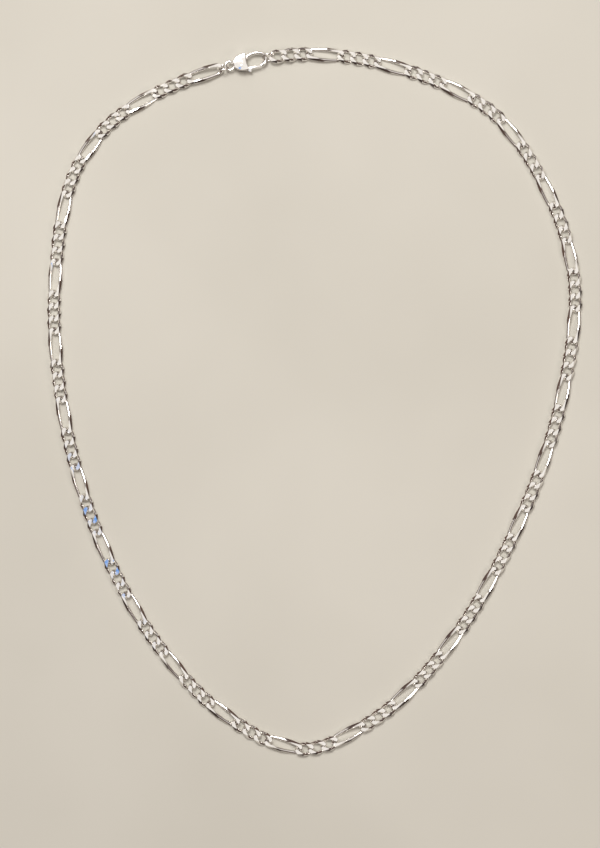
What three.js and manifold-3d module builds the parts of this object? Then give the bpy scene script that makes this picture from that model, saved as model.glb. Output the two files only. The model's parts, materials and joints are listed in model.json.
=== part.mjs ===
// A figaro chain necklace laid flat and clasped: three small curb links, then one long link,
// all the way round, closed by a lobster clasp. Millimetres, +Z up, resting on z = 0.
import * as THREE from "three";
import { mergeVertices } from "three/addons/utils/BufferGeometryUtils.js";
import Module from "manifold-3d";

const wasm = await Module();
wasm.setup();

// The chain. A link's inner length is what it adds to the chain when the chain is pulled straight.
// SLACK is the play left at every pivot, so that no link touches the next.
const REPEATS = 27;
const WIRE = 1.15;
const CHAIN_WIDTH = 4.5;
const CHAIN_THICKNESS = 1.84;
const SMALL_INNER = 3.95;
const LONG_INNER = 10.3;
const BOW_RADIUS = 1.45;
const SMALL_TWIST = THREE.MathUtils.degToRad(46);
const LONG_TWIST = THREE.MathUtils.degToRad(40);
const SLACK = 0.2;
const WIRE_SIDES = 5;

// SOLDER is how far the links of a trio are pulled past their inner length, so that their bows
// bite into each other and join. Detail finer than FINEST is dropped from a joined solid.
const SOLDER = 0.1;
const FINEST = 0.03;

// The clasp, from the ring in its eye to the ring in its claw.
const RING_WIRE = 0.75;
const RING_RADIUS = 1.75;
const RING_TILT = THREE.MathUtils.degToRad(60);
const RING_PITCH = 2 * RING_RADIUS - RING_WIRE - SLACK;
const CLASP_PITCH = 12;
const CLASP_MIDDLE = RING_RADIUS * Math.sin(RING_TILT) + RING_WIRE / 2;
const CLASP_THICKNESS = 2.8;
const CLASP_BEVEL = 0.4;
const EYE_WIRE = 0.8;
const EYE_RADIUS = 1.35;
const CLAW_WIRE = 1.0;
const CLAW_HALF_WIDTH = 2.25;
const CLAW_BOW = 1.9;
const CLAW_START = 6.4;
const GATE_START = 6.2;
const GATE_END = 10.55;
const GATE_DEPTH = 1;
const PIN_AT = new THREE.Vector2(4.6, -0.9);
const PIN_RADIUS = 0.4;
const PIN_PLAY = 0.1;
const LEVER_THICKNESS = 0.8;
const SLOT_WIDTH = 1.12;
const SLOT_START = 2.9;
const SLOT_END = 8;
const SLOT_TOP = 0.95;
const OUTSIDE = -3.2;

// The neckline: how far the chain runs to the left and right of the middle, at heights above its
// lowest link.
const NECKLINE = [
  { up: 11, left: 28.5, right: 21.5 },
  { up: 35, left: 51, right: 44.5 },
  { up: 70, left: 69.5, right: 64.5 },
  { up: 111, left: 80.5, right: 79 },
  { up: 152, left: 82.5, right: 83 },
  { up: 187, left: 75, right: 70 },
  { up: 207, left: 55, right: 52 },
];
const LOWEST = new THREE.Vector2(-3.5, 0);
const CROWN = new THREE.Vector2(0, 222);

// How far round from the crown the clasp's middle lies, and how far from it the chain starts to
// rise from the surface and has risen to the clasp's height.
const CLASP_SHIFT = 21.86;
const RISE_STARTS = 26;
const RISE_ENDS = 9;

const silver = new THREE.MeshStandardMaterial({ color: 0xe4e2de, metalness: 1, roughness: 0.16 });
const steel = new THREE.MeshStandardMaterial({ color: 0xa9abae, metalness: 1, roughness: 0.35 });

// Pivot-to-pivot lengths round the loop.
const SMALL_STEP = SMALL_INNER + SOLDER;
const TRIO_PITCH = 2 * SMALL_STEP + SMALL_INNER - SLACK;
const LONG_PITCH = LONG_INNER - SLACK;
const LOOP_LENGTH = REPEATS * (TRIO_PITCH + LONG_PITCH) + 2 * RING_PITCH + CLASP_PITCH;

function neckline() {
  const left = NECKLINE.map((row) => new THREE.Vector3(-row.left, row.up, 0));
  const right = NECKLINE.map((row) => new THREE.Vector3(row.right, row.up, 0));
  const crown = new THREE.Vector3(CROWN.x, CROWN.y, 0);
  const lowest = new THREE.Vector3(LOWEST.x, LOWEST.y, 0);
  const drawn = new THREE.CatmullRomCurve3([crown, ...left.reverse(), lowest, ...right], true);
  drawn.arcLengthDivisions = 4000;
  const scale = LOOP_LENGTH / drawn.getLength();
  return { drawn, scale };
}

const path = neckline();

// The point of the loop at a distance from the crown, going down the left side. The chain rises
// a little where it meets the clasp, whose middle is higher than its own.
function pointAt(distance) {
  const along = THREE.MathUtils.euclideanModulo(distance, LOOP_LENGTH);
  const point = path.drawn.getPointAt(along / LOOP_LENGTH).multiplyScalar(path.scale);
  const fromClasp = Math.min(
    Math.abs(along - CLASP_SHIFT),
    LOOP_LENGTH - Math.abs(along - CLASP_SHIFT),
  );
  const rise = 1 - THREE.MathUtils.smoothstep(fromClasp, RISE_ENDS, RISE_STARTS);
  point.z = THREE.MathUtils.lerp(CHAIN_THICKNESS / 2, CLASP_MIDDLE, rise);
  return point;
}

// A frame at the middle of the chord between two distances: X along the chord, Z up.
function frameBetween(start, end) {
  const from = pointAt(start);
  const to = pointAt(end);
  const along = to.clone().sub(from).normalize();
  const across = new THREE.Vector3(0, 0, 1).cross(along).normalize();
  const up = along.clone().cross(across);
  const middle = from.add(to).multiplyScalar(0.5);
  return new THREE.Matrix4().makeBasis(along, across, up).setPosition(middle);
}

// A flat oval of four arcs: bows of one radius at the ends of X, long arcs between them.
function ovalPoints(halfLength, halfWidth, bowRadius, bowSteps, sideSteps) {
  const bowAt = halfLength - bowRadius;
  const sideRadius =
    (halfWidth ** 2 + bowAt ** 2 - bowRadius ** 2) / (2 * (halfWidth - bowRadius));
  const sideAt = sideRadius - halfWidth;
  const turn = Math.atan2(sideAt, bowAt);
  const points = [];
  const arc = (centreX, centreY, radius, from, to, steps) => {
    for (let i = 0; i < steps; i += 1) {
      const angle = from + ((to - from) * i) / steps;
      points.push({
        x: centreX + radius * Math.cos(angle),
        y: centreY + radius * Math.sin(angle),
        outX: Math.cos(angle),
        outY: Math.sin(angle),
      });
    }
  };
  arc(bowAt, 0, bowRadius, -turn, turn, bowSteps);
  arc(0, -sideAt, sideRadius, turn, Math.PI - turn, sideSteps);
  arc(-bowAt, 0, bowRadius, Math.PI - turn, Math.PI + turn, bowSteps);
  arc(0, sideAt, sideRadius, Math.PI + turn, 2 * Math.PI - turn, sideSteps);
  return points;
}

// A wire round an oval that is twisted about X, more and more towards its ends, so that its two
// bows stand crosswise. Both faces are then cut flat.
function twistedRing({ points, halfLength, twist, wire, sides, thickness }) {
  const positions = [];
  const index = [];
  for (const point of points) {
    const angle = (twist * point.x) / halfLength;
    const cos = Math.cos(angle);
    const sin = Math.sin(angle);
    const centre = new THREE.Vector3(point.x, point.y * cos, point.y * sin);
    const out = new THREE.Vector3(point.outX, point.outY * cos, point.outY * sin);
    const side = new THREE.Vector3(0, -sin, cos);
    for (let j = 0; j < sides; j += 1) {
      const round = (2 * Math.PI * j) / sides;
      const corner = centre
        .clone()
        .addScaledVector(out, (wire / 2) * Math.cos(round))
        .addScaledVector(side, (wire / 2) * Math.sin(round));
      positions.push(
        corner.x,
        corner.y,
        THREE.MathUtils.clamp(corner.z, -thickness / 2, thickness / 2),
      );
    }
  }
  for (let i = 0; i < points.length; i += 1) {
    const next = (i + 1) % points.length;
    for (let j = 0; j < sides; j += 1) {
      const beside = (j + 1) % sides;
      const a = i * sides + j;
      const b = next * sides + j;
      const c = next * sides + beside;
      const d = i * sides + beside;
      index.push(a, b, c, a, c, d);
    }
  }
  const geometry = new THREE.BufferGeometry();
  geometry.setAttribute("position", new THREE.Float32BufferAttribute(positions, 3));
  geometry.setIndex(index);
  return geometry;
}

function linkGeometry(innerLength, twist, bowSteps, sideSteps) {
  const halfLength = (innerLength + WIRE) / 2;
  const halfWidth = (CHAIN_WIDTH - WIRE) / 2;
  return twistedRing({
    points: ovalPoints(halfLength, halfWidth, BOW_RADIUS, bowSteps, sideSteps),
    halfLength,
    twist,
    wire: WIRE,
    sides: WIRE_SIDES,
    thickness: CHAIN_THICKNESS,
  });
}

function solidFrom(geometry) {
  const loose = geometry.index ? geometry.toNonIndexed() : geometry;
  const bare = new THREE.BufferGeometry();
  bare.setAttribute("position", loose.getAttribute("position"));
  const merged = mergeVertices(bare, 1e-4);
  return new wasm.Manifold(
    new wasm.Mesh({
      numProp: 3,
      vertProperties: new Float32Array(merged.attributes.position.array),
      triVerts: new Uint32Array(merged.index.array),
    }),
  );
}

function geometryFrom(solid) {
  const mesh = solid.getMesh();
  const geometry = new THREE.BufferGeometry();
  geometry.setAttribute("position", new THREE.BufferAttribute(mesh.vertProperties, 3));
  geometry.setIndex(new THREE.BufferAttribute(mesh.triVerts, 1));
  return geometry;
}

// A plate of the given thickness, cut from an outline and centred on z = 0.
function plate(shape, thickness, curveSegments = 6) {
  const geometry = new THREE.ExtrudeGeometry(shape, {
    depth: thickness,
    bevelEnabled: false,
    curveSegments,
  });
  return geometry.translate(0, 0, -thickness / 2);
}

function block(fromX, toX, fromY, toY, thickness) {
  const geometry = new THREE.BoxGeometry(toX - fromX, toY - fromY, thickness);
  return geometry.translate((fromX + toX) / 2, (fromY + toY) / 2, 0);
}

function pinRod(radius, length) {
  return new THREE.CylinderGeometry(radius, radius, length, 12)
    .rotateX(Math.PI / 2)
    .translate(PIN_AT.x, PIN_AT.y, 0);
}

// The claw's hoop, still closed where the lever will go. Its far wall holds the end ring.
function clawHoop() {
  const halfLength = (CLASP_PITCH + SLACK / 2 - CLAW_START + CLAW_WIRE) / 2;
  const points = ovalPoints(halfLength, CLAW_HALF_WIDTH, CLAW_BOW, 8, 6);
  const hoop = twistedRing({
    points,
    halfLength,
    twist: 0,
    wire: CLAW_WIRE,
    sides: 8,
    thickness: CLAW_WIRE,
  });
  return hoop.translate(CLAW_START - CLAW_WIRE / 2 + halfLength, 0, 0);
}

function claspHousing() {
  const shape = new THREE.Shape();
  shape.moveTo(2.1, -0.9);
  shape.quadraticCurveTo(3.2, -2.5, 5.2, -2.75);
  shape.lineTo(6.3, -2.75);
  shape.quadraticCurveTo(6.9, -2.4, 6.6, -1.5);
  shape.quadraticCurveTo(6.1, 0, 6.6, 1.5);
  shape.quadraticCurveTo(6.9, 2.4, 6.3, 2.75);
  shape.lineTo(5.2, 2.75);
  shape.quadraticCurveTo(3.2, 2.5, 2.1, 0.9);
  shape.closePath();
  const geometry = new THREE.ExtrudeGeometry(shape, {
    depth: CLASP_THICKNESS - 2 * CLASP_BEVEL,
    bevelThickness: CLASP_BEVEL,
    bevelSize: CLASP_BEVEL,
    bevelOffset: -CLASP_BEVEL,
    bevelSegments: 2,
    curveSegments: 4,
  });
  return geometry.translate(0, 0, CLASP_BEVEL - CLASP_THICKNESS / 2);
}

function claspBody() {
  const eye = new THREE.TorusGeometry(EYE_RADIUS, EYE_WIRE / 2, 8, 16);
  eye.translate(EYE_RADIUS - (EYE_WIRE + SLACK) / 2, 0, 0);
  const gateOpening = block(GATE_START, GATE_END, OUTSIDE, -GATE_DEPTH, 2 * CLAW_WIRE);
  const leverSlot = block(SLOT_START, SLOT_END, OUTSIDE, SLOT_TOP, SLOT_WIDTH);
  const claw = solidFrom(clawHoop()).subtract(solidFrom(gateOpening));
  return solidFrom(claspHousing())
    .add(claw)
    .add(solidFrom(eye))
    .subtract(solidFrom(leverSlot))
    .subtract(solidFrom(pinRod(PIN_RADIUS + PIN_PLAY, 2 * CLASP_THICKNESS)))
    .simplify(FINEST);
}

// The gate arm runs from the boss on the pin to the claw's tip, with a thumb nub on its outside.
function claspLever() {
  const shape = new THREE.Shape();
  shape.moveTo(10.4, -2.65);
  shape.lineTo(10.4, -1.85);
  shape.lineTo(7.2, -1.85);
  shape.quadraticCurveTo(6.0, -1.6, 5.35, -0.45);
  shape.absarc(PIN_AT.x, PIN_AT.y, 0.87, 0.55, Math.PI * 1.45, false);
  shape.lineTo(6.1, -2.65);
  shape.quadraticCurveTo(6.5, -3.5, 7.2, -3.45);
  shape.lineTo(7.5, -2.65);
  shape.closePath();
  const bore = solidFrom(pinRod(PIN_RADIUS + PIN_PLAY, 2 * LEVER_THICKNESS));
  return solidFrom(plate(shape, LEVER_THICKNESS, 5)).subtract(bore);
}

// A leaf bowed along the top of the slot, between the housing and the lever's arm.
function claspSpring() {
  const shape = new THREE.Shape();
  shape.moveTo(3.1, 0.62);
  shape.quadraticCurveTo(4.6, 0.86, 6.1, 0.4);
  shape.lineTo(6.05, 0.24);
  shape.quadraticCurveTo(4.6, 0.66, 3.1, 0.44);
  shape.closePath();
  return plate(shape, 0.7, 5);
}

function jumpRing(tilt) {
  return new THREE.TorusGeometry(RING_RADIUS, RING_WIRE / 2, 7, 16).rotateX(tilt);
}

const necklace = new THREE.Group();
necklace.name = "figaro_necklace";

function addPiece(name, geometry, frame, material) {
  const placed = geometry.clone().applyMatrix4(frame);
  placed.computeVertexNormals();
  const mesh = new THREE.Mesh(placed, material);
  mesh.name = name;
  necklace.add(mesh);
}

function numbered(word, number) {
  return `${word}_${String(number).padStart(2, "0")}`;
}

// Three small links, each on its own chord of the loop, soldered where they hang in each other.
function trioSolid(start, smallLink) {
  const firstMiddle = start + (SMALL_INNER - SLACK) / 2;
  const links = [0, 1, 2].map((place) => {
    const middle = firstMiddle + place * SMALL_STEP;
    const frame = frameBetween(middle - SMALL_STEP / 2, middle + SMALL_STEP / 2);
    return solidFrom(smallLink.clone().applyMatrix4(frame));
  });
  return links[0].add(links[1]).add(links[2]).simplify(FINEST);
}

// Every pivot on the way round, for the record of the joints: where it is and which way the loop
// runs through it.
const pivots = [];

function markPivot(name, distance) {
  const ahead = pointAt(distance + 0.5);
  const behind = pointAt(distance - 0.5);
  const along = ahead.sub(behind).setZ(0).normalize();
  pivots.push({ name, at: pointAt(distance).toArray(), along: along.toArray() });
}

function addClasp(start) {
  const eyeRingEnd = start + CLASP_PITCH;
  const frame = frameBetween(eyeRingEnd, start);
  frame.multiply(new THREE.Matrix4().makeTranslation(-CLASP_PITCH / 2, 0, 0));
  addPiece("clasp_body", geometryFrom(claspBody()), frame, silver);
  addPiece("clasp_lever", geometryFrom(claspLever()), frame, silver);
  addPiece("clasp_pivot_pin", pinRod(PIN_RADIUS, CLASP_THICKNESS), frame, steel);
  addPiece("clasp_spring", claspSpring(), frame, steel);
  pivots.push({
    name: "clasp_pin",
    at: new THREE.Vector3(PIN_AT.x, PIN_AT.y, 0).applyMatrix4(frame).toArray(),
  });
}

function addChain(start) {
  const smallLink = linkGeometry(SMALL_INNER, SMALL_TWIST, 4, 2);
  const longLink = linkGeometry(LONG_INNER, LONG_TWIST, 4, 4);
  let distance = start;
  for (let i = 1; i <= REPEATS; i += 1) {
    markPivot(numbered("long_link", i), distance);
    const frame = frameBetween(distance, distance + LONG_PITCH);
    addPiece(numbered("long_link", i), longLink, frame, silver);
    distance += LONG_PITCH;
    markPivot(numbered("curb_trio", i), distance);
    const trio = geometryFrom(trioSolid(distance, smallLink));
    addPiece(numbered("curb_trio", i), trio, new THREE.Matrix4(), silver);
    distance += TRIO_PITCH;
  }
  return distance;
}

// Round the loop from the clasp's claw: clasp, jump ring, chain, end ring.
const claspStart = CLASP_SHIFT - CLASP_PITCH / 2;
addClasp(claspStart);
const eyePivot = claspStart + CLASP_PITCH;
markPivot("clasp_jump_ring", eyePivot);
const jumpRingFrame = frameBetween(eyePivot, eyePivot + RING_PITCH);
addPiece("clasp_jump_ring", jumpRing(RING_TILT), jumpRingFrame, silver);
const chainEnd = addChain(eyePivot + RING_PITCH);
markPivot("end_ring", chainEnd);
const endRingFrame = frameBetween(chainEnd, chainEnd + RING_PITCH);
addPiece("end_ring", jumpRing(-RING_TILT), endRingFrame, silver);

// The middle of the loop's box is the origin, and its lowest point is on z = 0.
const box = new THREE.Box3().setFromObject(necklace);
const middle = box.getCenter(new THREE.Vector3());
necklace.position.set(-middle.x, -middle.y, -box.min.z);

necklace.userData.pivots = pivots;
export default necklace;
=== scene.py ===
"""Looks for the figaro chain necklace: polished silver links on a pale surface, seen from straight above."""

import json
import math

import bmesh
import bpy
from mathutils import Matrix, Vector


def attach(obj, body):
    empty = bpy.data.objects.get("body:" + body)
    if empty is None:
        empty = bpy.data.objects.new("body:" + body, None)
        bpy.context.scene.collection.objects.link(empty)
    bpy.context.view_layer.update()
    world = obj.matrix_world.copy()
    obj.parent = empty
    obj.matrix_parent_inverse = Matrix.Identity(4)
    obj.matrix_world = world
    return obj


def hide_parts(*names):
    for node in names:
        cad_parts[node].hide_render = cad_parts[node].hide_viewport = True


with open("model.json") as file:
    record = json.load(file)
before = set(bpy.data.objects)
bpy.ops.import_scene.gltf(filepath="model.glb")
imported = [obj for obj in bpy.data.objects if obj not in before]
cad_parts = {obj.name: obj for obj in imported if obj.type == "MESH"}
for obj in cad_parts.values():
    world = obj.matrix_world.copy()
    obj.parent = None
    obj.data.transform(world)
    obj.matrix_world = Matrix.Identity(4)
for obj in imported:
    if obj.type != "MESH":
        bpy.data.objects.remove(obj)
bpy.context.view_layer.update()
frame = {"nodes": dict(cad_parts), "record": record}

MM = 0.001
UP = Vector((0, 0, 1))
REPEATS = 27

# The links, in millimetres.
WIRE = 1.15
CHAIN_WIDTH = 4.5
SMALL_INNER = 4.07
LONG_INNER = 10.3
SMALL_STEP = 4.05
TRIO_LENGTH = 11.85
BOW_RADIUS = 1.65
SMALL_TWIST = math.radians(50)
LONG_TWIST = math.radians(40)
FLAT_HEIGHT = 0.88
BEVEL_TILT = math.radians(42)
BEVEL_REACH = 1.66
SCRATCH_DEPTH = 0.03
SHARP = math.radians(24)

# How much the links are rolled about the chain's length, and how fast that changes along it.
LARGEST_ROLL = math.radians(1.2)
ROLL_RATE = 7.3

# How finely curves are drawn: faces round a wire, and steps along bends and curved outlines.
LINK_SIDES = 18
LINK_BOW_STEPS = 18
LONG_LINK_SIDE_STEPS = 20
SMALL_LINK_SIDE_STEPS = 8
CLASP_WIRE_SIDES = 16
CLAW_ARC_STEPS = 24
RING_STEPS = 40
PIN_STEPS = 32
BEND_STEPS = 8
BOSS_STEPS = 16

# The clasp and its rings, in millimetres. The clasp's own frame runs from the pivot in its eye
# along X to the pivot in its claw.
RING_WIRE = 0.7
RING_RADIUS = 1.75
RING_TILT = math.radians(60)
EYE_WIRE = 0.7
EYE_RADIUS = 1.35
EYE_MIDDLE = 0.85
CLASP_LENGTH = 12
CLAW_WIRE = 1.0
CLAW_START = 5.9
CLAW_END = 13.1
CLAW_HALF_WIDTH = 2.25
CLAW_BOW = 1.9
GATE_START = 6.2
GATE_END = 10.55
GATE_BELOW = -1
HOUSING_START = 2.1
HOUSING_END = 6.8
HOUSING_TAIL_HALF_WIDTH = 0.9
HOUSING_HALF_WIDTH = 2.7
HOUSING_THICKNESS = 2.76
HOUSING_RIM = 0.3
TAIL_CURVE_X = 3.2
TAIL_CURVE_Y = 2.5
FLANK_START = 5.2
FLANK_END = 6.0
FRONT_CORNER_X = 6.6
FRONT_CORNER_Y = 1.5
FRONT_HOLLOW = 6.1
LEVER_THICKNESS = 0.8
LEVER_RIM = 0.12
LEVER_TIP = 10.4
LEVER_INNER_EDGE = -1.9
LEVER_OUTER_EDGE = -2.6
LEVER_BOSS_RADIUS = 0.87
PIN_AT = Vector((4.6, -0.9, 0))
PIN_RADIUS = 0.4
PIN_RIM = 0.08
PIN_PROUD = 0.03

# The box that the lever's slot takes out of the housing, and out of the claw's wire inside it.
SLOT_LOW = Vector((2.9, -3.2, -0.56))
SLOT_HIGH = Vector((8, 0.95, 0.56))

# Where the bright dome over the table leans: a little to the left and to the top of the view.
DOME_AXIS = Vector((-0.12, 0.3, 0.95))

# A small blue light in the dome. Links on the lower left mirror it to the camera, as in the
# photograph, and so does a spot on the clasp.
BLUE_AXIS = Vector((-0.072, -0.04, 1))
BLUE_SPREAD = math.radians(1.5)
BLUE_SOFTNESS = 0.15

# The stage, light and camera, in metres.
SURFACE_SIZE = 6
CAMERA_AT = (-0.0046, -0.0072, 0.9)
CAMERA_LENS_MM = 120
CAMERA_SENSOR_MM = 36
CAMERA_NEAREST = 0.01

joints = {joint["name"]: joint for joint in frame["record"]["behaviour"]["joints"]}


def joint_point(name):
    """Where a joint of the CAD is."""
    return Vector(joints[name]["pos_m"])


def joint_across(name):
    """A joint's axis, which lies flat across the chain at the links' joints."""
    return Vector(joints[name]["axis"])


def loop_pivots():
    """Joint names round the chain, from the jump ring's end to the end ring's."""
    between = [f"link_joint_{i:02d}" for i in range(1, 2 * REPEATS)]
    return ["clasp_ring_swing", *between, "end_ring_swing"]


PIVOTS = loop_pivots()


def frame_at(point, along):
    """A frame at a point: X along the chain, Z as near upright as it can be."""
    x = along.normalized()
    y = UP.cross(x).normalized()
    z = x.cross(y)
    turn = Matrix((x, y, z)).transposed().to_4x4()
    return Matrix.Translation(point) @ turn


def oval_points(half_length, half_width, bow_radius, bow_steps, side_steps):
    """A flat oval of four arcs, as (x, y, outward x, outward y)."""
    bow_at = half_length - bow_radius
    side_radius = (half_width**2 + bow_at**2 - bow_radius**2) / (2 * (half_width - bow_radius))
    side_at = side_radius - half_width
    turn = math.atan2(side_at, bow_at)
    arcs = [
        (bow_at, 0, bow_radius, -turn, turn, bow_steps),
        (0, -side_at, side_radius, turn, math.pi - turn, side_steps),
        (-bow_at, 0, bow_radius, math.pi - turn, math.pi + turn, bow_steps),
        (0, side_at, side_radius, math.pi + turn, 2 * math.pi - turn, side_steps),
    ]
    points = []
    for centre_x, centre_y, radius, start, end, steps in arcs:
        for step in range(steps):
            angle = start + (end - start) * step / steps
            out_x = math.cos(angle)
            out_y = math.sin(angle)
            points.append((centre_x + radius * out_x, centre_y + radius * out_y, out_x, out_y))
    return points


def circle_points(radius, steps):
    """A circle's points in the same form."""
    points = []
    for step in range(steps):
        angle = 2 * math.pi * step / steps
        out_x = math.cos(angle)
        out_y = math.sin(angle)
        points.append((radius * out_x, radius * out_y, out_x, out_y))
    return points


def swept_wire(points, half_length, twist, wire, sides, closed=True):
    """A round wire bent along the points and twisted about X, as a bmesh in metres."""
    bm = bmesh.new()
    rings = []
    for x, y, out_x, out_y in points:
        angle = twist * x / half_length
        cos = math.cos(angle)
        sin = math.sin(angle)
        centre = Vector((x, y * cos, y * sin))
        out = Vector((out_x, out_y * cos, out_y * sin))
        side = Vector((0, -sin, cos))
        ring = []
        for j in range(sides):
            turn = 2 * math.pi * j / sides
            offset = out * math.cos(turn) + side * math.sin(turn)
            ring.append(bm.verts.new((centre + offset * (wire / 2)) * MM))
        rings.append(ring)
    if closed:
        rings.append(rings[0])
    else:
        bm.faces.new(rings[0])
        bm.faces.new(rings[-1])
    for ring, following in zip(rings, rings[1:]):
        for j in range(sides):
            beside = (j + 1) % sides
            bm.faces.new((ring[j], following[j], following[beside], ring[beside]))
    return bm


def cut_flat(bm, normal, reach):
    """Cuts the link off beyond a plane, which stands `reach` from its middle, and closes the cut."""
    geometry = [*bm.verts, *bm.edges, *bm.faces]
    cut = bmesh.ops.bisect_plane(
        bm,
        geom=geometry,
        plane_co=normal * reach * MM,
        plane_no=normal,
        clear_outer=True,
    )
    edges = [item for item in cut["geom_cut"] if isinstance(item, bmesh.types.BMEdge)]
    bmesh.ops.holes_fill(bm, edges=edges)


def finish_mesh(bm, name):
    """The finished mesh, smooth except where its faces meet at a sharp angle."""
    bmesh.ops.recalc_face_normals(bm, faces=bm.faces)
    mesh = bpy.data.meshes.new(name)
    bm.to_mesh(mesh)
    bm.free()
    mesh.shade_smooth()
    mesh.set_sharp_from_angle(angle=SHARP)
    return mesh


def link_mesh(name, inner_length, twist, side_steps):
    """A twisted curb link with its flats and bevels cut."""
    half_length = (inner_length + WIRE) / 2
    half_width = (CHAIN_WIDTH - WIRE) / 2
    points = oval_points(half_length, half_width, BOW_RADIUS, LINK_BOW_STEPS, side_steps)
    bm = swept_wire(points, half_length, twist, WIRE, LINK_SIDES)
    for z_sign in (1, -1):
        cut_flat(bm, Vector((0, 0, z_sign)), FLAT_HEIGHT)
        for y_sign in (1, -1):
            tilted = Vector((0, y_sign * math.sin(BEVEL_TILT), z_sign * math.cos(BEVEL_TILT)))
            cut_flat(bm, tilted, BEVEL_REACH)
    return finish_mesh(bm, name)


def rolled(matrix, count):
    """The frame turned a little about X, by an amount that differs from one link to the next."""
    return matrix @ Matrix.Rotation(LARGEST_ROLL * math.sin(ROLL_RATE * count), 4, "X")


def place(name, mesh, matrix, body, replaced):
    """Adds a visible piece that rides on a body and stands in for the CAD nodes it replaces."""
    obj = bpy.data.objects.new(name, mesh)
    bpy.context.scene.collection.objects.link(obj)
    obj.matrix_world = matrix
    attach(obj, body)
    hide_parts(*replaced)
    return obj


# ---- Materials ----


def new_material(name):
    """A material with only a shader and its output, and what is needed to add nodes to it."""
    material = bpy.data.materials.new(name)
    material.use_nodes = True
    nodes = material.node_tree.nodes
    nodes.clear()
    output = nodes.new("ShaderNodeOutputMaterial")
    shader = nodes.new("ShaderNodeBsdfPrincipled")
    material.node_tree.links.new(shader.outputs["BSDF"], output.inputs["Surface"])
    return material, nodes, material.node_tree.links, shader


def noise_node(nodes, links, coordinates, scale, detail, stretch=(1, 1, 1)):
    """Noise over the coordinates, from 0 to 1."""
    mapping = nodes.new("ShaderNodeMapping")
    mapping.inputs["Scale"].default_value = stretch
    noise = nodes.new("ShaderNodeTexNoise")
    noise.inputs["Scale"].default_value = scale
    noise.inputs["Detail"].default_value = detail
    links.new(coordinates, mapping.inputs["Vector"])
    links.new(mapping.outputs["Vector"], noise.inputs["Vector"])
    return noise.outputs["Fac"]


def ramp_node(nodes, links, value, stops):
    """Turns a value into a colour, by a list of (value, colour) in rising order."""
    ramp = nodes.new("ShaderNodeValToRGB")
    elements = ramp.color_ramp.elements
    for position, _ in stops[2:]:
        elements.new(position)
    for element, (position, colour) in zip(elements, stops):
        element.position = position
        element.color = (*colour, 1)
    links.new(value, ramp.inputs["Fac"])
    return ramp.outputs["Color"]


def metal_material(name, bright, dull, roughness, scratch):
    """A polished metal: faint clouding of its colour, uneven polish, and hairline scratches."""
    material, nodes, links, shader = new_material(name)
    coordinates = nodes.new("ShaderNodeTexCoord").outputs["Object"]
    clouding = noise_node(nodes, links, coordinates, scale=420, detail=3)
    colour = ramp_node(nodes, links, clouding, [(0.3, dull), (0.62, bright)])
    polish = noise_node(nodes, links, coordinates, scale=900, detail=2)
    smoothest = (roughness * 0.6,) * 3
    roughest = (roughness * 1.5,) * 3
    rough = ramp_node(nodes, links, polish, [(0.3, smoothest), (0.7, roughest)])
    hairlines = noise_node(nodes, links, coordinates, scale=2600, detail=2, stretch=(0.15, 1, 1))
    bump = nodes.new("ShaderNodeBump")
    bump.inputs["Strength"].default_value = scratch
    bump.inputs["Distance"].default_value = SCRATCH_DEPTH * MM
    links.new(hairlines, bump.inputs["Height"])
    links.new(colour, shader.inputs["Base Color"])
    links.new(rough, shader.inputs["Roughness"])
    links.new(bump.outputs["Normal"], shader.inputs["Normal"])
    shader.inputs["Metallic"].default_value = 1
    return material


def surface_material():
    """The pale matt surface that the necklace lies on."""
    material, nodes, links, shader = new_material("pale_surface")
    coordinates = nodes.new("ShaderNodeTexCoord").outputs["Object"]
    blotches = noise_node(nodes, links, coordinates, scale=9, detail=3)
    pale = (0.64, 0.62, 0.56)
    paler = (0.69, 0.67, 0.61)
    colour = ramp_node(nodes, links, blotches, [(0.35, pale), (0.65, paler)])
    links.new(colour, shader.inputs["Base Color"])
    shader.inputs["Roughness"].default_value = 0.85
    return material


silver = metal_material(
    "polished_silver",
    bright=(0.97, 0.95, 0.93),
    dull=(0.90, 0.88, 0.86),
    roughness=0.07,
    scratch=0.1,
)
plain_steel = metal_material(
    "plain_steel",
    bright=(0.62, 0.62, 0.63),
    dull=(0.5, 0.5, 0.51),
    roughness=0.28,
    scratch=0.2,
)


# ---- The chain ----


def add_long_links():
    """One long link between the two joints of each long_link node."""
    mesh = link_mesh("long_link", LONG_INNER, LONG_TWIST, LONG_LINK_SIDE_STEPS)
    mesh.materials.append(silver)
    for number in range(1, REPEATS + 1):
        start = joint_point(PIVOTS[2 * number - 2])
        end = joint_point(PIVOTS[2 * number - 1])
        node = f"long_link_{number:02d}"
        matrix = rolled(frame_at((start + end) / 2, end - start), 4 * number)
        place(f"link_long_{number:02d}", mesh, matrix, node, [node])


def loop_direction(name, towards):
    """Which way the loop runs through a joint, on the side that points the way of `towards`."""
    along = UP.cross(joint_across(name))
    return along if along.dot(towards) > 0 else -along


def arc_point(start, end, start_along, end_along, t):
    """The point and direction a share t along the smooth curve between two joints (a Hermite cubic)."""
    chord = (end - start).length
    point = (
        start * (2 * t**3 - 3 * t**2 + 1)
        + start_along * chord * (t**3 - 2 * t**2 + t)
        + end * (-2 * t**3 + 3 * t**2)
        + end_along * chord * (t**3 - t**2)
    )
    along = (
        start * (6 * t**2 - 6 * t)
        + start_along * chord * (3 * t**2 - 4 * t + 1)
        + end * (-6 * t**2 + 6 * t)
        + end_along * chord * (3 * t**2 - 2 * t)
    )
    return point, along


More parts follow.
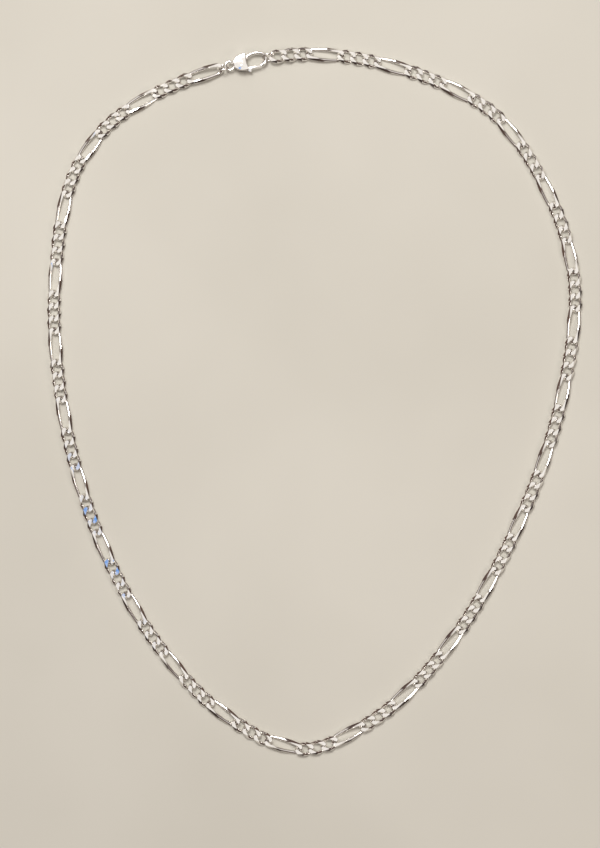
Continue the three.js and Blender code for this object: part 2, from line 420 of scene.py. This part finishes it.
def add_small_links():
    """Three small links along the curve between the two joints of each curb_trio node."""
    mesh = link_mesh("small_link", SMALL_INNER, SMALL_TWIST, SMALL_LINK_SIDE_STEPS)
    mesh.materials.append(silver)
    for number in range(1, REPEATS + 1):
        first = PIVOTS[2 * number - 1]
        last = PIVOTS[2 * number]
        start = joint_point(first)
        end = joint_point(last)
        chord = end - start
        start_along = loop_direction(first, chord)
        end_along = loop_direction(last, chord)
        node = f"curb_trio_{number:02d}"
        for place_number, letter in enumerate("abc"):
            share = 0.5 + (place_number - 1) * SMALL_STEP / TRIO_LENGTH
            point, along = arc_point(start, end, start_along, end_along, share)
            matrix = rolled(frame_at(point, along), 4 * number + place_number + 1)
            place(f"link_small_{number:02d}{letter}", mesh, matrix, node, [node])


add_long_links()
add_small_links()


# ---- The clasp ----


def bend(start, control, end):
    """Points of the quadratic curve from start to end, with the end left off."""
    start, control, end = Vector(start), Vector(control), Vector(end)
    points = []
    for step in range(BEND_STEPS):
        t = step / BEND_STEPS
        points.append(start * (1 - t) ** 2 + control * (2 * t * (1 - t)) + end * t**2)
    return points


def arc(centre, radius, start, end):
    """Points of a circle's arc, with both ends."""
    points = []
    for step in range(BOSS_STEPS + 1):
        angle = start + (end - start) * step / BOSS_STEPS
        points.append(centre + Vector((math.cos(angle), math.sin(angle))) * radius)
    return points


def plate_bmesh(outline, thickness, rim):
    """A plate cut to the outline, centred on z = 0, with both its rims rounded."""
    bm = bmesh.new()
    loops = []
    for z in (-thickness / 2, thickness / 2):
        loops.append([bm.verts.new(Vector((x, y, z)) * MM) for x, y in outline])
    low, high = loops
    rims = [*bm.faces.new(low).edges, *bm.faces.new(high).edges]
    count = len(outline)
    for i in range(count):
        j = (i + 1) % count
        bm.faces.new((low[i], low[j], high[j], high[i]))
    bmesh.ops.recalc_face_normals(bm, faces=bm.faces)
    bmesh.ops.bevel(bm, geom=rims, offset=rim * MM, segments=4, profile=0.5, affect="EDGES")
    return bm


def without_box(mesh, low, high):
    """The mesh with a box cut out of it."""
    bm = bmesh.new()
    size = Matrix.Diagonal(((high - low) * MM).to_4d())
    bmesh.ops.create_cube(bm, size=1, matrix=Matrix.Translation((low + high) / 2 * MM) @ size)
    cutter = bpy.data.objects.new("cutter", bpy.data.meshes.new("cutter"))
    bm.to_mesh(cutter.data)
    bm.free()
    blank = bpy.data.objects.new("blank", mesh)
    for obj in (cutter, blank):
        bpy.context.scene.collection.objects.link(obj)
    cut = blank.modifiers.new("cut", "BOOLEAN")
    cut.object = cutter
    bpy.context.view_layer.update()
    finished = blank.evaluated_get(bpy.context.evaluated_depsgraph_get())
    result = bmesh.new()
    result.from_mesh(finished.data)
    for obj in (cutter, blank):
        bpy.data.objects.remove(obj)
    return finish_mesh(result, mesh.name)


def clasp_frame():
    """The clasp's own frame, from the pivots of its eye and its lever."""
    eye = joint_point("clasp_swing")
    pin = joint_point("clasp_lever_press")
    aside = math.atan2(PIN_AT.y, PIN_AT.x)
    along = Matrix.Rotation(-aside, 3, "Z") @ (pin - eye)
    return frame_at(eye, along)


def ring_mesh(name, radius, wire):
    """A plain round ring."""
    points = circle_points(radius, RING_STEPS)
    return finish_mesh(swept_wire(points, radius, 0, wire, CLASP_WIRE_SIDES), name)


def housing_mesh():
    """The clasp's body: widening flanks, a hollowed front, and the lever's slot cut through it."""
    half = HOUSING_HALF_WIDTH
    tail = HOUSING_TAIL_HALF_WIDTH
    outline = [
        *bend((HOUSING_START, -tail), (TAIL_CURVE_X, -TAIL_CURVE_Y), (FLANK_START, -half)),
        Vector((FLANK_START, -half)),
        *bend((FLANK_END, -half), (HOUSING_END, -half), (FRONT_CORNER_X, -FRONT_CORNER_Y)),
        *bend(
            (FRONT_CORNER_X, -FRONT_CORNER_Y),
            (FRONT_HOLLOW, 0),
            (FRONT_CORNER_X, FRONT_CORNER_Y),
        ),
        *bend((FRONT_CORNER_X, FRONT_CORNER_Y), (HOUSING_END, half), (FLANK_END, half)),
        Vector((FLANK_END, half)),
        *bend((FLANK_START, half), (TAIL_CURVE_X, TAIL_CURVE_Y), (HOUSING_START, tail)),
        Vector((HOUSING_START, tail)),
    ]
    plate = plate_bmesh(outline, HOUSING_THICKNESS, HOUSING_RIM)
    return without_box(finish_mesh(plate, "clasp_housing"), SLOT_LOW, SLOT_HIGH)


def in_gate(x, y):
    """Whether a point of the claw's oval is in the gap that the lever closes."""
    return y < GATE_BELOW and GATE_START < x < GATE_END


def claw_mesh():
    """The hook: an oval wire, open along the side that the lever closes."""
    half_length = (CLAW_END - CLAW_START - CLAW_WIRE / 2) / 2
    middle = CLAW_START + half_length
    oval = oval_points(half_length, CLAW_HALF_WIDTH, CLAW_BOW, CLAW_ARC_STEPS, CLAW_ARC_STEPS)
    points = [(x + middle, y, out_x, out_y) for x, y, out_x, out_y in oval]
    gaps = [in_gate(x, y) for x, y, _, _ in points]
    after_gate = max(i for i, gap in enumerate(gaps) if gap) + 1
    turned = points[after_gate:] + points[:after_gate]
    wire = swept_wire(
        turned[: gaps.count(False)], half_length, 0, CLAW_WIRE, CLASP_WIRE_SIDES, closed=False
    )
    return without_box(finish_mesh(wire, "clasp_claw"), SLOT_LOW, SLOT_HIGH)


def lever_mesh():
    """The gate: a straight arm from the tip back to a round boss on the pin, with a thumb nub."""
    boss = arc(Vector(PIN_AT.xy), LEVER_BOSS_RADIUS, 0.55, math.pi * 1.45)
    outline = [
        Vector((LEVER_TIP, LEVER_OUTER_EDGE)),
        Vector((LEVER_TIP, LEVER_INNER_EDGE)),
        Vector((7.2, LEVER_INNER_EDGE)),
        *bend((7.0, -1.88), (6.0, -1.6), (5.35, -0.5)),
        *boss,
        Vector((6.1, LEVER_OUTER_EDGE)),
        *bend((6.2, -2.75), (6.5, -3.5), (7.2, -3.45)),
        Vector((7.25, -3.4)),
        Vector((7.5, LEVER_OUTER_EDGE)),
    ]
    return finish_mesh(plate_bmesh(outline, LEVER_THICKNESS, LEVER_RIM), "clasp_lever")


def pin_mesh():
    """The rivet, whose two heads stand a little proud of the housing."""
    circle = [Vector((x, y)) + PIN_AT.xy for x, y, _, _ in circle_points(PIN_RADIUS, PIN_STEPS)]
    return finish_mesh(plate_bmesh(circle, HOUSING_THICKNESS + PIN_PROUD, PIN_RIM), "clasp_pin")


def add_clasp():
    """The clasp's visible pieces. Its spring is the CAD's own, given the steel."""
    frame_here = clasp_frame()
    eye_frame = frame_here @ Matrix.Translation((EYE_MIDDLE * MM, 0, 0))
    for name, mesh, matrix in (
        ("clasp_eye", ring_mesh("clasp_eye", EYE_RADIUS, EYE_WIRE), eye_frame),
        ("clasp_housing", housing_mesh(), frame_here),
        ("clasp_claw", claw_mesh(), frame_here),
    ):
        mesh.materials.append(silver)
        place(name, mesh, matrix, "clasp_body", ["clasp_body"])
    lever = lever_mesh()
    lever.materials.append(silver)
    place("lever", lever, frame_here, "clasp_lever", ["clasp_lever"])
    pin = pin_mesh()
    pin.materials.append(plain_steel)
    place("pin", pin, frame_here, "clasp_body", ["clasp_pivot_pin"])
    spring = frame["nodes"]["clasp_spring"]
    spring.data.materials.clear()
    spring.data.materials.append(plain_steel)


def add_rings():
    """The jump ring in the clasp's eye, and the end ring in its claw."""
    mesh = ring_mesh("ring", RING_RADIUS, RING_WIRE)
    mesh.materials.append(silver)
    claw_pivot = clasp_frame() @ Vector((CLASP_LENGTH * MM, 0, 0))
    eye_pivot = joint_point("clasp_swing")
    for node, start, end, tilt in (
        ("clasp_jump_ring", eye_pivot, joint_point("clasp_ring_swing"), RING_TILT),
        ("end_ring", joint_point("end_ring_swing"), claw_pivot, -RING_TILT),
    ):
        matrix = frame_at((start + end) / 2, end - start) @ Matrix.Rotation(tilt, 4, "X")
        place(f"{node}_wire", mesh, matrix, node, [node])


add_clasp()
add_rings()


# ---- Stage, light and camera ----


def add_surface():
    """The plain floor under the necklace."""
    bpy.ops.mesh.primitive_plane_add(size=SURFACE_SIZE)
    surface = bpy.context.object
    surface.name = "stage_surface"
    surface.data.materials.append(surface_material())


def add_lamp(name, location, size, energy, colour):
    """A square lamp that points at the middle of the necklace."""
    lamp = bpy.data.lights.new(name, "AREA")
    lamp.size = size
    lamp.energy = energy
    lamp.color = colour
    obj = bpy.data.objects.new(name, lamp)
    bpy.context.scene.collection.objects.link(obj)
    obj.location = location
    obj.rotation_euler = (-Vector(location)).to_track_quat("-Z", "Y").to_euler()


def toward(nodes, links, direction, axis):
    """How nearly a direction points along an axis, from -1 to 1."""
    product = nodes.new("ShaderNodeVectorMath")
    product.operation = "DOT_PRODUCT"
    product.inputs[1].default_value = axis.normalized()
    links.new(direction, product.inputs[0])
    return product.outputs["Value"]


def add_world():
    """A bright leaning dome with one small blue light, over a dark warm room, for the silver to mirror."""
    world = bpy.data.worlds.new("studio")
    bpy.context.scene.world = world
    world.use_nodes = True
    nodes = world.node_tree.nodes
    links = world.node_tree.links
    nodes.clear()
    output = nodes.new("ShaderNodeOutputWorld")
    background = nodes.new("ShaderNodeBackground")
    direction = nodes.new("ShaderNodeTexCoord").outputs["Generated"]
    stops = [
        (0.0, (0.05, 0.035, 0.03)),
        (0.4, (0.14, 0.09, 0.07)),
        (0.68, (0.07, 0.05, 0.05)),
        (0.76, (0.62, 0.58, 0.54)),
        (0.9, (0.92, 0.88, 0.83)),
    ]
    dome = ramp_node(nodes, links, toward(nodes, links, direction, DOME_AXIS), stops)
    in_blue = nodes.new("ShaderNodeMapRange")
    in_blue.inputs["From Min"].default_value = math.cos(BLUE_SPREAD * (1 + BLUE_SOFTNESS))
    in_blue.inputs["From Max"].default_value = math.cos(BLUE_SPREAD * (1 - BLUE_SOFTNESS))
    links.new(toward(nodes, links, direction, BLUE_AXIS), in_blue.inputs["Value"])
    colour = nodes.new("ShaderNodeMix")
    colour.data_type = "RGBA"
    colour.inputs["B"].default_value = (0.12, 0.36, 0.9, 1)
    links.new(in_blue.outputs["Result"], colour.inputs["Factor"])
    links.new(dome, colour.inputs["A"])
    links.new(colour.outputs["Result"], background.inputs["Color"])
    links.new(background.outputs["Background"], output.inputs["Surface"])


def add_camera():
    """A long lens straight above, which sees the loop as the photograph does from the front."""
    lens = bpy.data.cameras.new("camera")
    lens.lens = CAMERA_LENS_MM
    lens.sensor_width = CAMERA_SENSOR_MM
    lens.clip_start = CAMERA_NEAREST
    camera = bpy.data.objects.new("camera", lens)
    bpy.context.scene.collection.objects.link(camera)
    camera.location = CAMERA_AT
    bpy.context.scene.camera = camera


add_surface()
add_lamp("key", location=(-0.15, 0.42, 0.8), size=0.3, energy=4.9, colour=(1.0, 0.975, 0.935))
add_lamp("fill", location=(0.5, -0.2, 0.5), size=0.2, energy=0.8, colour=(1.0, 0.93, 0.86))
add_world()
add_camera()
bpy.context.scene.view_settings.view_transform = "Standard"
